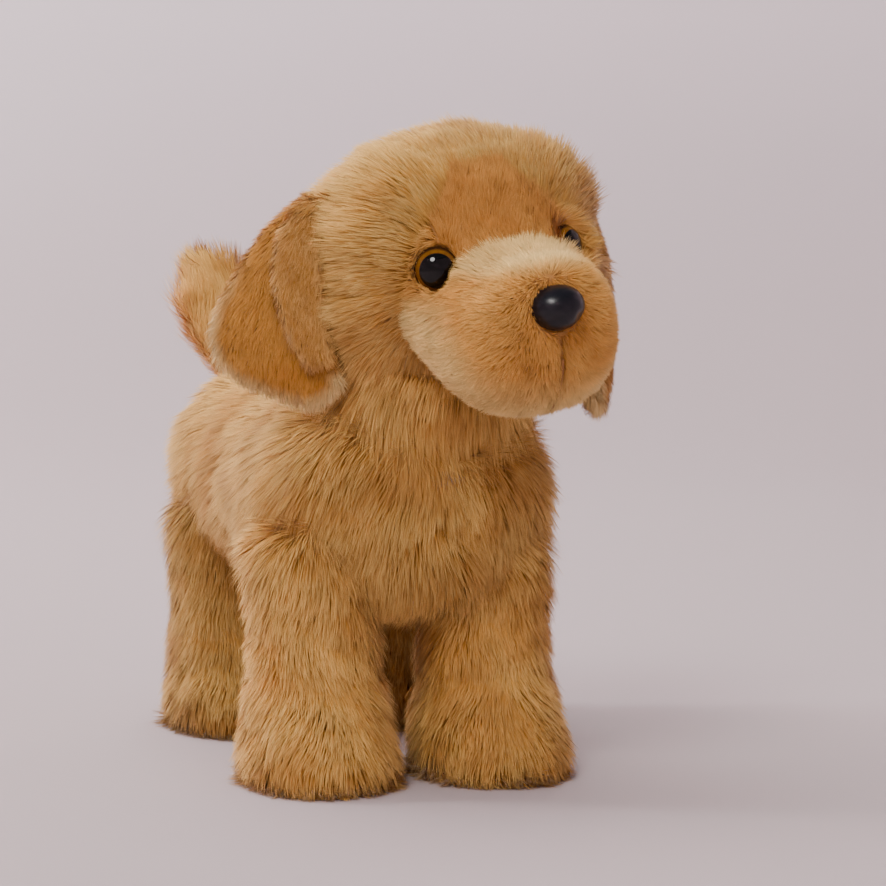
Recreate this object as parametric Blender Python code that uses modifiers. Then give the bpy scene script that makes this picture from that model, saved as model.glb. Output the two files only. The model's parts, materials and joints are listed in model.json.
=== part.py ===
"""A standing plush puppy, built as it is sewn: fur-fabric panels over stuffing, with
safety eyes and nose, flap ears, and limbs, neck and tail that flex at their seams.

The dog faces -Y, its left side is +X, it stands on z = 0, and lengths below are in
millimetres, turned into metres by MM.
"""

import math

import bmesh
import bpy
from mathutils import Euler, Matrix, Vector

MM = 0.001

# Fabric and clearances
SKIN = 1.6  # backing and packed root of the pile
SEAM_GAP = 1.0  # between panels that are sewn edge to edge
STUFFING_INSET = SKIN + 1.5  # from the outside of the skin to the stuffing
JOINT_GAP = 1.6  # between the ball of stuffing at a joint and its socket
FLEX_ROOM = 18.0  # degrees of lean that a limb's socket leaves room for

# Places are from the ground under the middle of the torso. MIDDLE is the middle of the
# whole dog's box there, which is the origin of the model.
MIDDLE = Vector((10.52, -17.49, 0))
NECK_BASE = Vector((7, -51, 121))
NECK_BASE_RADIUS = 31
NECK_TOP = Vector((12, -65, 152))
NECK_TOP_RADIUS = 27
SKULL_CENTRE = Vector((15.5, -78, 182.5))
HEAD_YAW = 12  # degrees, towards the dog's left
HEAD_ROLL = -8  # degrees, left side up
TAIL_ROOT = Vector((-4, 86, 119))
TAIL_ROOT_RADIUS = 10
FRONT_LEG = dict(x=31, y=-57, z=75, radius=18.5)
HIND_LEG = dict(x=32, y=60, z=75, radius=19.5)

# Eyes and nose
EYE_PLACE = Vector((25.5, -30.5, 0.5))  # left eye, in the head's own frame
EYE_AIM = Vector((0.42, -0.90, 0.06)).normalized()
EYE_RADIUS = 7
EYE_DOME = 4.6
EYE_BACK = 1.6
PUPIL_RADIUS = 5.6
SHANK_RADIUS = 1.8
SHANK_LENGTH = 11.5
WASHER_RADIUS = 6
WASHER_DEPTH = 8.4
TURNED_SIDES = 12
NOSE_PLACE = Vector((0, -64.6, -15.5))
NOSE_SIZE = Vector((9.4, 6.5, 7.7))  # half sizes
NOSE_BACK = 1.2
NOSE_SEAT_RADIUS = 7.4

AXIS_X = Vector((1, 0, 0))
AXIS_Y = Vector((0, 1, 0))
AXIS_Z = Vector((0, 0, 1))


# ---------------------------------------------------------------- scene and materials


def clear_scene():
    for obj in list(bpy.data.objects):
        bpy.data.objects.remove(obj)


def material(name, colour, roughness, metallic=0.0):
    made = bpy.data.materials.new(name)
    made.use_nodes = True
    shader = made.node_tree.nodes["Principled BSDF"]
    shader.inputs["Base Color"].default_value = (*colour, 1)
    shader.inputs["Roughness"].default_value = roughness
    shader.inputs["Metallic"].default_value = metallic
    return made


def collection(name):
    made = bpy.data.collections.new(name)
    bpy.context.scene.collection.children.link(made)
    return made


clear_scene()
DOG = collection("plush_dog")
CUTTERS = collection("cutters")

LONG_PILE = material("long_pile", (0.52, 0.30, 0.11), 0.95)
SHORT_PILE = material("short_pile", (0.62, 0.36, 0.15), 0.9)
PALE_PILE = material("pale_pile", (0.72, 0.52, 0.30), 0.9)
PATCH_PILE = material("patch_pile", (0.55, 0.28, 0.10), 0.9)
STUFFING = material("stuffing", (0.90, 0.89, 0.86), 1.0)
BLACK_PLASTIC = material("black_plastic", (0.012, 0.011, 0.012), 0.12)
NOSE_PLASTIC = material("nose_plastic", (0.015, 0.014, 0.017), 0.3)
AMBER_PLASTIC = material("amber_plastic", (0.33, 0.17, 0.03), 0.1)
WASHER_PLASTIC = material("washer_plastic", (0.85, 0.85, 0.83), 0.5)
THREAD = material("thread", (0.42, 0.22, 0.09), 0.8)


# ---------------------------------------------------------------- frames


def empty(name, place, rotation=(0, 0, 0), parent=None):
    """An empty on a joint. place is in millimetres in the parent's frame."""
    made = bpy.data.objects.new(name, None)
    made.empty_display_size = 0.02
    made.location = Vector(place) * MM
    made.rotation_euler = [math.radians(angle) for angle in rotation]
    made.parent = parent
    DOG.objects.link(made)
    return made


def in_torso(obj):
    """The object's matrix in the torso's frame, worked out from its parents, in metres."""
    if obj == ROOT:
        return Matrix()
    here = Matrix.LocRotScale(obj.location, obj.rotation_euler, None)
    return in_torso(obj.parent) @ here


# ---------------------------------------------------------------- lofts


def spline(values, t):
    """Catmull-Rom through evenly numbered values, at t from 0 to len(values) - 1."""
    last = len(values) - 1
    i = min(int(t), last - 1)
    f = t - i
    p1, p2 = values[i], values[i + 1]
    p0 = values[i - 1] if i > 0 else 2 * p1 - p2
    p3 = values[i + 2] if i + 2 <= last else 2 * p2 - p1
    return 0.5 * (
        2 * p1
        + (p2 - p0) * f
        + (2 * p0 - 5 * p1 + 4 * p2 - p3) * f * f
        + (3 * p1 - p0 - 3 * p2 + p3) * f**3
    )


class Loft:
    """A closed body through superellipse rings. Each station is (centre, half width,
    half depth, exponent). Rings lie in the plane of across and up, where up is
    across x the loft's direction, so that u = 0 is on the up side and faces point out.
    """

    def __init__(self, stations, across, up):
        self.centres = [Vector(s[0]) for s in stations]
        self.widths = [float(s[1]) for s in stations]
        self.depths = [float(s[2]) for s in stations]
        self.exponents = [float(s[3]) if len(s) > 3 else 2.0 for s in stations]
        self.across = across
        self.up = up
        self.last = len(stations) - 1

    def point(self, u, v):
        """u in degrees round from up towards across, v from 0 to 1 along the loft."""
        t = v * self.last
        width = max(spline(self.widths, t), 0.5)
        depth = max(spline(self.depths, t), 0.5)
        power = 2 / spline(self.exponents, t)
        s, c = math.sin(math.radians(u)), math.cos(math.radians(u))
        x = math.copysign(abs(s) ** power, s) * width
        y = math.copysign(abs(c) ** power, c) * depth
        return spline(self.centres, t) + self.across * x + self.up * y

    def v_at(self, station):
        return station / self.last


def mesh_object(name, points, faces, look, parent, home=DOG):
    """An object from points in millimetres in its parent's frame."""
    mesh = bpy.data.meshes.new(name)
    mesh.from_pydata([p * MM for p in points], [], faces)
    mesh.materials.append(look)
    mesh.shade_smooth()
    mesh.set_sharp_from_angle(angle=math.radians(50))
    made = bpy.data.objects.new(name, mesh)
    made.parent = parent
    home.objects.link(made)
    return made


def edge_at(edge, v):
    """An edge is an angle, or a function that gives the angle at v."""
    return edge(v) if callable(edge) else edge


def panel(name, loft, edges, v_range, look, parent, across_steps, along_steps):
    """One sewn panel: a stretch of the loft between two edges, as thick as the skin."""
    v0, v1 = v_range
    points, faces = [], []
    for i in range(along_steps + 1):
        v = v0 + (v1 - v0) * i / along_steps
        u0, u1 = edge_at(edges[0], v), edge_at(edges[1], v)
        spine = spline(loft.centres, v * loft.last)
        radius = (loft.point((u0 + u1) / 2, v) - spine).length
        trim = min(math.degrees(SEAM_GAP / 2 / radius), (u1 - u0) / 6)
        for j in range(across_steps + 1):
            u = u0 + trim + (u1 - u0 - 2 * trim) * j / across_steps
            points.append(loft.point(u, v))
    row = across_steps + 1
    for i in range(along_steps):
        for j in range(across_steps):
            a = i * row + j
            faces.append((a, a + 1, a + row + 1, a + row))
    return with_skin(mesh_object(name, points, faces, look, parent))


def with_skin(obj):
    skin = obj.modifiers.new("skin", "SOLIDIFY")
    skin.thickness = SKIN * MM
    skin.offset = -1
    return obj


def rings(loft, v_range, sides, along_steps):
    """Points and side faces of the loft, all the way round."""
    v0, v1 = v_range
    points, faces = [], []
    for i in range(along_steps + 1):
        v = v0 + (v1 - v0) * i / along_steps
        points += [loft.point(360 * j / sides, v) for j in range(sides)]
    for i in range(along_steps):
        for j in range(sides):
            a, b = i * sides + j, i * sides + (j + 1) % sides
            faces.append((a, b, b + sides, a + sides))
    return points, faces


def tube_skin(name, loft, v_range, look, parent, sides, along_steps):
    """A skin that goes all the way round the loft, open at both ends."""
    points, faces = rings(loft, v_range, sides, along_steps)
    return with_skin(mesh_object(name, points, faces, look, parent))


def filling(name, loft, parent, sides, along_steps, v_range=(0, 1)):
    """The stuffing inside a loft: the whole closed body, drawn in along its normals."""
    points, faces = rings(loft, v_range, sides, along_steps)
    faces.append(tuple(range(sides))[::-1])
    faces.append(tuple(along_steps * sides + j for j in range(sides)))
    made = mesh_object(name, points, faces, STUFFING, parent)
    inset = made.modifiers.new("inset", "DISPLACE")
    inset.mid_level = 0
    inset.strength = -STUFFING_INSET * MM
    return made


def dome(centre, radius, start, end, steps):
    """Stations of a ball with a level ring at each angle in degrees above its middle."""
    stations = []
    for i in range(steps + 1):
        angle = math.radians(start + (end - start) * i / steps)
        ring = radius * math.cos(angle)
        place = Vector(centre) + AXIS_Z * radius * math.sin(angle)
        stations.append((place, ring, ring, 2))
    return stations


# ---------------------------------------------------------------- cutters


def as_cutter(obj):
    for home in list(obj.users_collection):
        home.objects.unlink(obj)
    CUTTERS.objects.link(obj)
    obj.hide_render = True
    obj.display_type = "WIRE"
    return obj


def ball_cutter(name, centre, radius):
    """A ball, placed in the torso's frame."""
    bpy.ops.mesh.primitive_uv_sphere_add(
        segments=16, ring_count=10, radius=radius * MM, location=centre * MM
    )
    made = bpy.context.object
    made.name = name
    made.parent = ROOT
    return as_cutter(made)


def cone_cutter(name, start, direction, near, far, length):
    """A cone in the torso's frame, from start along direction, near to far radius."""
    bpy.ops.mesh.primitive_cone_add(
        vertices=16,
        radius1=near * MM,
        radius2=far * MM,
        depth=length * MM,
        location=(start + direction * length / 2) * MM,
        rotation=direction.to_track_quat("Z", "Y").to_euler(),
    )
    made = bpy.context.object
    made.name = name
    made.parent = ROOT
    return as_cutter(made)


def cut(obj, cutters):
    for cutter in cutters:
        made = obj.modifiers.new(cutter.name, "BOOLEAN")
        made.operation = "DIFFERENCE"
        made.object = cutter


def socket_cutters(name, centre, radius, direction, lean, length):
    """A ball socket, and the room that a limb leaving it along direction sweeps."""
    open_radius = radius + JOINT_GAP
    ball = ball_cutter(name + "_ball", centre, open_radius)
    spread = length * math.tan(math.radians(lean))
    near = open_radius / math.cos(math.radians(lean)) + 0.3
    cone = cone_cutter(name + "_sweep", centre, direction, near, near + spread, length)
    return [ball, cone]


# ---------------------------------------------------------------- torso

ROOT = empty("torso", -MIDDLE)
TAIL = empty("tail", TAIL_ROOT, parent=ROOT)
NECK = empty("neck", NECK_BASE, parent=ROOT)
HEAD = empty(
    "head", NECK_TOP - NECK_BASE, (0, HEAD_ROLL, HEAD_YAW), parent=NECK
)

# Chest to rump: (centre, half width, half height, exponent)
TORSO_LOFT = Loft(
    [
        ((6, -87, 99), 1.5, 1.5),
        ((6, -82, 99), 24, 23),
        ((5, -72, 99), 39, 33, 2.1),
        ((4, -55, 99), 46, 36.5, 2.3),
        ((2, -30, 98.5), 45.5, 36, 2.3),
        ((0, 0, 98), 43, 35, 2.2),
        ((0, 30, 98), 44, 35.5, 2.3),
        ((0, 58, 98), 48, 37.5, 2.4),
        ((0, 76, 99), 44, 35, 2.3),
        ((0, 88, 100), 31, 25, 2.1),
        ((0, 95, 101), 1.5, 1.5),
    ],
    AXIS_X,
    AXIS_Z,
)


def leg_sides():
    for place, spec in (("front", FRONT_LEG), ("hind", HIND_LEG)):
        for side, sign in (("left", 1), ("right", -1)):
            yield f"{place}_{side}", place, spec, sign


def leg_centre(spec, sign):
    return Vector((sign * spec["x"], spec["y"], spec["z"]))


def build_torso():
    sockets = []
    for name, _, spec, sign in leg_sides():
        centre = leg_centre(spec, sign)
        sockets += socket_cutters(name, centre, spec["radius"], -AXIS_Z, FLEX_ROOM, 26)
    neck_way = (NECK_TOP - NECK_BASE).normalized()
    sockets += socket_cutters("neck", NECK_BASE, NECK_BASE_RADIUS, neck_way, 2, 40)
    tail_way = Vector((-0.45, 0.35, 0.82)).normalized()
    sockets += socket_cutters("tail", TAIL_ROOT, TAIL_ROOT_RADIUS, tail_way, 24, 30)

    most = (TORSO_LOFT.v_at(0.5), TORSO_LOFT.v_at(TORSO_LOFT.last - 0.5))
    stuffing = filling("torso_stuffing", TORSO_LOFT, ROOT, 18, 12, most)

    def add(name, edges):
        return panel(name, TORSO_LOFT, edges, (0, 1), LONG_PILE, ROOT, 6, 13)

    left = add("body_side_left", (0, 125))
    right = add("body_side_right", (-125, 0))
    belly = add("belly_gusset", (125, 235))
    for piece in (stuffing, left, right, belly):
        cut(piece, sockets)


# ---------------------------------------------------------------- legs

# Sole to shoulder, from the leg's joint: (forward, height, half width, half length)
FRONT_LEG_SHAPE = [
    (7.0, 0.6, 20.0, 27.0),
    (7.0, 4.0, 22.5, 30.0),
    (7.0, 12.0, 23.0, 30.5),
    (4.5, 21.0, 21.5, 26.5),
    (1.5, 32.0, 19.5, 21.5),
    (0.5, 44.0, 18.5, 19.0),
    (0.0, 58.0, 18.3, 18.3),
]
HIND_LEG_SHAPE = [
    (7.0, 0.6, 20.5, 28.0),
    (7.0, 4.0, 23.0, 31.0),
    (7.0, 12.0, 23.5, 31.0),
    (2.0, 21.0, 21.5, 26.0),
    (-3.0, 32.0, 19.0, 22.5),
    (-3.0, 44.0, 19.0, 21.0),
    (-1.0, 58.0, 19.3, 19.8),
]
SOLE_THICKNESS = 1.8
SOLE_POINTS = 20


def leg_loft(spec, shape):
    """A leg about its joint: paw, shank, and the ball of stuffing in the socket."""
    stations = []
    for forward, height, width, length in shape:
        stations.append(((0, -forward, height - spec["z"]), width, length, 2.15))
    stations += dome((0, 0, 0), spec["radius"], 0, 84, 5)
    return Loft(stations, AXIS_X, -AXIS_Y)


def build_leg(name, spec, shape, sign):
    joint = empty("leg_" + name, leg_centre(spec, sign), parent=ROOT)
    loft = leg_loft(spec, shape)
    low = loft.v_at(0.5)
    top = loft.v_at(len(shape) + 3)
    outer, inner = ((0, 180), (-180, 0))[::sign]
    panel(f"leg_{name}_outer", loft, outer, (low, top), LONG_PILE, joint, 7, 7)
    panel(f"leg_{name}_inner", loft, inner, (low, top), LONG_PILE, joint, 7, 7)
    stuffed_from = loft.v_at(0.8)
    filling(f"leg_{name}_stuffing", loft, joint, 12, 10, (stuffed_from, 1))
    sole(f"sole_{name}", spec, shape, joint)


def sole(name, spec, shape, joint):
    """The flat pad under a paw, cut to the paw's own outline."""
    forward, _, width, length = shape[0]
    curve = bpy.data.curves.new(name, "CURVE")
    curve.dimensions = "2D"
    curve.fill_mode = "BOTH"
    curve.extrude = SOLE_THICKNESS / 2 * MM
    outline = curve.splines.new("POLY")
    outline.points.add(SOLE_POINTS - 1)
    outline.use_cyclic_u = True
    for i, spot in enumerate(outline.points):
        angle = math.tau * i / SOLE_POINTS
        spot.co = (width * math.sin(angle) * MM, length * math.cos(angle) * MM, 0, 1)
    curve.materials.append(PALE_PILE)
    made = bpy.data.objects.new(name, curve)
    made.parent = joint
    made.location = Vector((0, -forward, SOLE_THICKNESS / 2 - spec["z"])) * MM
    DOG.objects.link(made)
    return made


# ---------------------------------------------------------------- tail and neck


def build_tail():
    stations = dome((0, 0, 0), TAIL_ROOT_RADIUS, -84, 10, 5)
    stations += [
        ((-7, 5, 9), 10.5, 10.5),
        ((-15, 10, 20), 11.5, 11.5),
        ((-21, 14, 32), 11.5, 11.5),
        ((-24, 17, 44), 9.0, 9.0),
        ((-24, 18, 53), 1.5, 1.5),
    ]
    loft = Loft(stations, AXIS_X, -AXIS_Y)
    low = loft.v_at(4.4)
    tip = loft.v_at(loft.last - 0.5)
    panel("tail_skin_left", loft, (0, 180), (low, tip), LONG_PILE, TAIL, 9, 5)
    panel("tail_skin_right", loft, (-180, 0), (low, tip), LONG_PILE, TAIL, 9, 5)
    filling("tail_stuffing", loft, TAIL, 10, 10, (0, tip))


def neck_loft():
    """A capsule from the ball in the torso to the ball in the head."""
    way = NECK_TOP - NECK_BASE
    across = AXIS_X
    direction = way.normalized()
    up = across.cross(direction).normalized()
    across = direction.cross(up)
    stations = []
    for i in range(6):
        angle = math.radians(-84 + 84 * i / 5)
        ring = NECK_BASE_RADIUS * math.cos(angle)
        stations.append((direction * NECK_BASE_RADIUS * math.sin(angle), ring, ring))
    for i in range(7):
        angle = math.radians(84 * i / 6)
        ring = NECK_TOP_RADIUS * math.cos(angle)
        lift = way.length + NECK_TOP_RADIUS * math.sin(angle)
        stations.append((direction * lift, ring, ring))
    return Loft(stations, across, up)


def build_neck():
    loft = neck_loft()
    tube_skin(
        "neck_skin", loft, (loft.v_at(4.4), loft.v_at(6.5)), LONG_PILE, NECK, 20, 3
    )
    filling("neck_stuffing", loft, NECK, 16, 10)


# ---------------------------------------------------------------- head

# From the nose back, about the middle of the skull
HEAD_LOFT = Loft(
    [
        ((0, -62.8, -17), 1.5, 1.5),
        ((0, -61, -19), 17.5, 15, 2.2),
        ((0, -56, -22.5), 24, 21.5, 2.4),
        ((0, -48, -25), 28, 25, 2.4),
        ((0, -38, -23), 31, 27, 2.3),
        ((0, -31, -18), 33.5, 28.5, 2.2),
        ((0, -24, -7), 36.5, 34, 2.2),
        ((0, -12, -1), 41.5, 38, 2.4),
        ((0, 4, 0), 44, 39, 2.5),
        ((0, 20, -1), 40, 36, 2.3),
        ((0, 32, -2), 29, 26, 2),
        ((0, 39, -3), 1.5, 1.5),
    ],
    AXIS_X,
    AXIS_Z,
)
MUZZLE_FRONT = HEAD_LOFT.v_at(0.3)  # under the nose
STOP = HEAD_LOFT.v_at(4.1)  # the foot of the forehead patch, between the eyes
FACE = HEAD_LOFT.v_at(6.0)  # where the sides of the muzzle are sewn to the head
BROW = HEAD_LOFT.v_at(6.5)  # the top of the forehead patch
BACK = 1.0
BRIDGE = 38  # degrees each side of the top
CROWN = 24
JAW = 142
HEAD_SEAM = 0.5 * SEAM_GAP / 110  # half a seam across the loft, as a share of its length


def crown_edge(v):
    """Half the angle of the middle strip: even to the face seam, narrower at the brow."""
    share = min(max((v - FACE) / (BROW - FACE), 0), 1)
    return BRIDGE + (CROWN - BRIDGE) * share


def build_head():
    turn = Euler([math.radians(a) for a in (0, HEAD_ROLL, HEAD_YAW)]).to_matrix()
    skull = empty("skull", turn.inverted() @ (SKULL_CENTRE - NECK_TOP), parent=HEAD)
    muzzle = (MUZZLE_FRONT, FACE - HEAD_SEAM)
    face = (FACE + HEAD_SEAM, BACK)

    def add(name, edges, v_range, look, across_steps, along_steps):
        return panel(
            name, HEAD_LOFT, edges, v_range, look, skull, across_steps, along_steps
        )

    def left_of(v):
        return -crown_edge(v)

    patch = (STOP + HEAD_SEAM, BROW - HEAD_SEAM)
    crown = (BROW + HEAD_SEAM, BACK)
    bridge = (-BRIDGE, BRIDGE)
    panels = [
        add("muzzle_bridge", bridge, (MUZZLE_FRONT, STOP - HEAD_SEAM), SHORT_PILE, 4, 6),
        add("muzzle_left", (BRIDGE, 180), muzzle, SHORT_PILE, 8, 7),
        add("muzzle_right", (-180, -BRIDGE), muzzle, SHORT_PILE, 8, 7),
        add("forehead_patch", (left_of, crown_edge), patch, PATCH_PILE, 4, 4),
        add("crown_gusset", (-CROWN, CROWN), crown, LONG_PILE, 4, 7),
        add("head_side_left", (crown_edge, JAW), face, LONG_PILE, 7, 8),
        add("head_side_right", (-JAW, left_of), face, LONG_PILE, 7, 8),
        add("jaw_gusset", (JAW, 360 - JAW), face, LONG_PILE, 4, 7),
    ]
    most = (HEAD_LOFT.v_at(0.5), HEAD_LOFT.v_at(HEAD_LOFT.last - 0.5))
    stuffing = filling("head_stuffing", HEAD_LOFT, skull, 18, 14, most)

    away = (NECK_BASE - NECK_TOP).normalized()
    socket = socket_cutters("head", NECK_TOP, NECK_TOP_RADIUS, away, 17, 34)
    for piece in (*panels, stuffing):
        cut(piece, socket)
    build_nose(skull, panels, stuffing)
    for side, sign in (("left", 1), ("right", -1)):
        build_eye(side, sign, skull, panels, stuffing)
        build_ear(side, sign, skull)
    build_mouth(skull)


def from_skull(skull, point):
    """A point of the skull's own frame, in the torso's, in millimetres."""
    return in_torso(skull) @ (Vector(point) * MM) / MM


def aim_from_skull(skull, direction):
    return (in_torso(skull).to_3x3() @ Vector(direction)).normalized()


def turned(name, profile, look, parent, place, aim, ring=False):
    """A body turned about its own Z from (radius, height) points, top to bottom, then
    aimed. A ring's profile is closed; any other starts and ends on the axis."""
    points = [Vector((radius, 0, height)) * MM for radius, height in profile]
    edges = [(i, i + 1) for i in range(len(points) - 1)]
    if ring:
        edges.append((len(points) - 1, 0))
    mesh = bpy.data.meshes.new(name)
    mesh.from_pydata(points, edges, [])
    mesh.materials.append(look)
    made = bpy.data.objects.new(name, mesh)
    made.parent = parent
    made.location = Vector(place) * MM
    made.rotation_euler = aim.to_track_quat("Z", "Y").to_euler()
    DOG.objects.link(made)
    screw = made.modifiers.new("turn", "SCREW")
    screw.steps = TURNED_SIDES
    screw.render_steps = TURNED_SIDES
    screw.use_merge_vertices = True
    screw.merge_threshold = 0.00001
    screw.use_smooth_shade = True
    return made


def cap_profile(radius, height, back):
    """A shallow dome of that radius and height, over a plain back, top to bottom."""
    profile = [(0, height)]
    for i in range(1, 5):
        angle = math.radians(90 - 22.5 * i)
        profile.append((radius * math.cos(angle), height * math.sin(angle)))
    return [*profile, (radius, -back), (0, -back)]


def build_eye(side, sign, skull, panels, stuffing):
    """A safety eye: a clear dome over a black pupil, on a shank held by a washer."""
    place = Vector((sign * EYE_PLACE.x, EYE_PLACE.y, EYE_PLACE.z))
    aim = Vector((sign * EYE_AIM.x, EYE_AIM.y, EYE_AIM.z))
    lens_profile = cap_profile(EYE_RADIUS, EYE_DOME, EYE_BACK)
    hollow_profile = cap_profile(PUPIL_RADIUS + 0.3, EYE_DOME - 1.2, 4)
    pupil_profile = cap_profile(PUPIL_RADIUS, EYE_DOME - 1.6, EYE_BACK)
    pupil_profile[-1:] = [
        (SHANK_RADIUS, -EYE_BACK),
        (SHANK_RADIUS, -SHANK_LENGTH),
        (0, -SHANK_LENGTH),
    ]
    hollow = turned(
        f"eye_{side}_hollow", hollow_profile, BLACK_PLASTIC, skull, place, aim
    )
    as_cutter(hollow)
    lens = turned(f"eye_{side}_lens", lens_profile, AMBER_PLASTIC, skull, place, aim)
    cut(lens, [hollow])
    turned(f"eye_{side}_pupil", pupil_profile, BLACK_PLASTIC, skull, place, aim)
    washer(f"eye_{side}_washer", skull, place - aim * WASHER_DEPTH, aim, WASHER_RADIUS)
    pocket = cone_cutter(
        f"eye_{side}_pocket",
        from_skull(skull, place + aim * 8),
        aim_from_skull(skull, -aim),
        EYE_RADIUS + 0.6,
        EYE_RADIUS + 0.6,
        8 + SHANK_LENGTH + 1,
    )
    cut(stuffing, [pocket])
    around = ("muzzle_bridge", f"muzzle_{side}", "forehead_patch", f"head_side_{side}")
    for piece in panels:
        if piece.name in around:
            cut(piece, [pocket])


def washer(name, parent, place, aim, radius):
    """The lock washer pushed on a shank, inside the skin."""
    hole = SHANK_RADIUS + 0.3
    half = 0.6
    profile = [(hole, half), (radius, half), (radius, -half), (hole, -half)]
    return turned(name, profile, WASHER_PLASTIC, parent, place, aim, ring=True)


def build_nose(skull, panels, stuffing):
    """A moulded nose: a rounded, slightly triangular dome on a shank with a washer."""
    work = bmesh.new()
    bmesh.ops.create_uvsphere(work, u_segments=16, v_segments=10, radius=1)
    for vert in work.verts:
        x, y, z = vert.co
        narrow = 1.0 - 0.28 * max(-z, 0) - 0.06 * max(z, 0)
        vert.co = Vector((x * narrow * NOSE_SIZE.x, y * NOSE_SIZE.y, z * NOSE_SIZE.z))
        vert.co *= MM
    sliced = bmesh.ops.bisect_plane(
        work,
        geom=work.verts[:] + work.edges[:] + work.faces[:],
        plane_co=(0, NOSE_BACK * MM, 0),
        plane_no=(0, 1, 0),
        clear_outer=True,
    )
    rim = [e for e in sliced["geom_cut"] if isinstance(e, bmesh.types.BMEdge)]
    bmesh.ops.contextual_create(work, geom=rim)
    bmesh.ops.recalc_face_normals(work, faces=work.faces)
    mesh = bpy.data.meshes.new("nose")
    work.to_mesh(mesh)
    work.free()
    mesh.materials.append(NOSE_PLASTIC)
    mesh.shade_smooth()
    mesh.set_sharp_from_angle(angle=math.radians(50))
    nose = bpy.data.objects.new("nose", mesh)
    nose.parent = skull
    nose.location = NOSE_PLACE * MM
    DOG.objects.link(nose)

    ahead = -AXIS_Y
    rod = [(0, -0.5), (SHANK_RADIUS, -0.5)]
    rod += [(SHANK_RADIUS, -SHANK_LENGTH), (0, -SHANK_LENGTH)]
    shank = turned("nose_shank", rod, NOSE_PLASTIC, skull, NOSE_PLACE, ahead)
    as_cutter(shank)
    joined = nose.modifiers.new("shank", "BOOLEAN")
    joined.operation = "UNION"
    joined.object = shank
    behind = NOSE_PLACE + AXIS_Y * WASHER_DEPTH
    washer("nose_washer", skull, behind, ahead, WASHER_RADIUS + 1)
    seat = cone_cutter(
        "nose_seat",
        from_skull(skull, NOSE_PLACE - AXIS_Y * 4),
        aim_from_skull(skull, AXIS_Y),
        NOSE_SEAT_RADIUS,
        NOSE_SEAT_RADIUS,
        4 + SHANK_LENGTH + 1,
    )
    for piece in panels:
        if piece.name.startswith("muzzle"):
            cut(piece, [seat])
    cut(stuffing, [seat])


def build_mouth(skull):
    """The thread of the centre seam, from under the nose down round the chin."""
    curve = bpy.data.curves.new("mouth_seam", "CURVE")
    curve.dimensions = "3D"
    curve.bevel_depth = 0.45 * MM
    curve.bevel_resolution = 1
    curve.use_fill_caps = True
    line = curve.splines.new("POLY")
    places = []
    for i in range(9):
        v = 0.08 + 0.2 * i / 8
        point = HEAD_LOFT.point(180, v)
        ahead = HEAD_LOFT.point(180, v + 0.01) - HEAD_LOFT.point(180, v - 0.01)
        out = ahead.cross(AXIS_X).normalized()
        if out.z > 0:
            out = -out
        places.append(point + out * 0.9)
    line.points.add(len(places) - 1)
    for spot, place in zip(line.points, places):
        spot.co = (*(place * MM), 1)
    curve.materials.append(THREAD)
    made = bpy.data.objects.new("mouth_seam_thread", curve)
    made.parent = skull
    DOG.objects.link(made)


# ---------------------------------------------------------------- ears

# The left ear's front edge, about the skull, from its seam down, and at each of those
# places the ear's width, the folded lobe's width, and how far back the ear is turned
EAR_EDGE = [
    Vector((39.5, 1.5, 27)),
    Vector((43.2, 3.2, 19.5)),
    Vector((46.5, 5.5, 4)),
    Vector((47.0, 7, -14)),
    Vector((46.5, 8, -30)),
    Vector((45.5, 8.5, -41)),
]
EAR_WIDTH = [16.0, 25.0, 34.0, 43.0, 41.0, 24.0]
LOBE_WIDTH = [13.0, 16.0, 16.5, 14.0, 8.0, 0.0]
EAR_TURN = [78.0, 66.0, 56.0, 52.0, 52.0, 52.0]  # degrees back from sideways
# The head is tilted, so the left ear is set lower, and its end swings forward and down
EAR_SET = {1: Vector((3, 0, -7)), -1: Vector((0, 0, 0))}
EAR_FALL = {1: Vector((-7.8, -15, -13)), -1: Vector((0, 0, 0))}
LOBE_END = 4  # the place along the edge where the folded lobe runs out
EAR_LAYER = 1.6
EAR_LAYER_GAP = 1.0


def ear_point(sign, across, k, offset):
    """A point of the ear: across from its front edge, at place k down the edge."""
    turn = math.radians(spline(EAR_TURN, k))
    spread = Vector((math.cos(turn), math.sin(turn), 0))
    face = Vector((math.sin(turn), -math.cos(turn), 0))
    share = across / spline(EAR_WIDTH, k)
    down = k / (len(EAR_EDGE) - 1)
    bow = 3.0 * math.sin(math.pi * share) * math.sin(math.pi * down)
    lift = 6.0 * down**3 * (2 * share - 1) ** 2
    place = spline(EAR_EDGE, k) + spread * across + face * (offset + bow)
    place += EAR_SET[sign] + EAR_FALL[sign] * down
    return Vector((sign * place.x, place.y, place.z + lift))


def flap(name, sign, layer, widths, end, rows, look, parent, pivot):
    """One layer of an ear, from its front edge out to the given widths."""
    columns = 5
    offset = layer * (EAR_LAYER + EAR_LAYER_GAP)
    points, faces = [], []
    for i in range(rows + 1):
        k = end * i / rows
        width = spline(widths, k)
        for j in range(columns + 1):
            points.append(ear_point(sign, width * j / columns, k, offset) - pivot)
    row = columns + 1
    for i in range(rows):
        for j in range(columns):
            a = i * row + j
            quad = (a, a + row, a + row + 1, a + 1)
            faces.append(quad if sign > 0 else quad[::-1])
    made = mesh_object(name, points, faces, look, parent)
    cloth = made.modifiers.new("layer", "SOLIDIFY")
    cloth.thickness = EAR_LAYER * MM
    cloth.offset = 0
    return made


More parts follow.
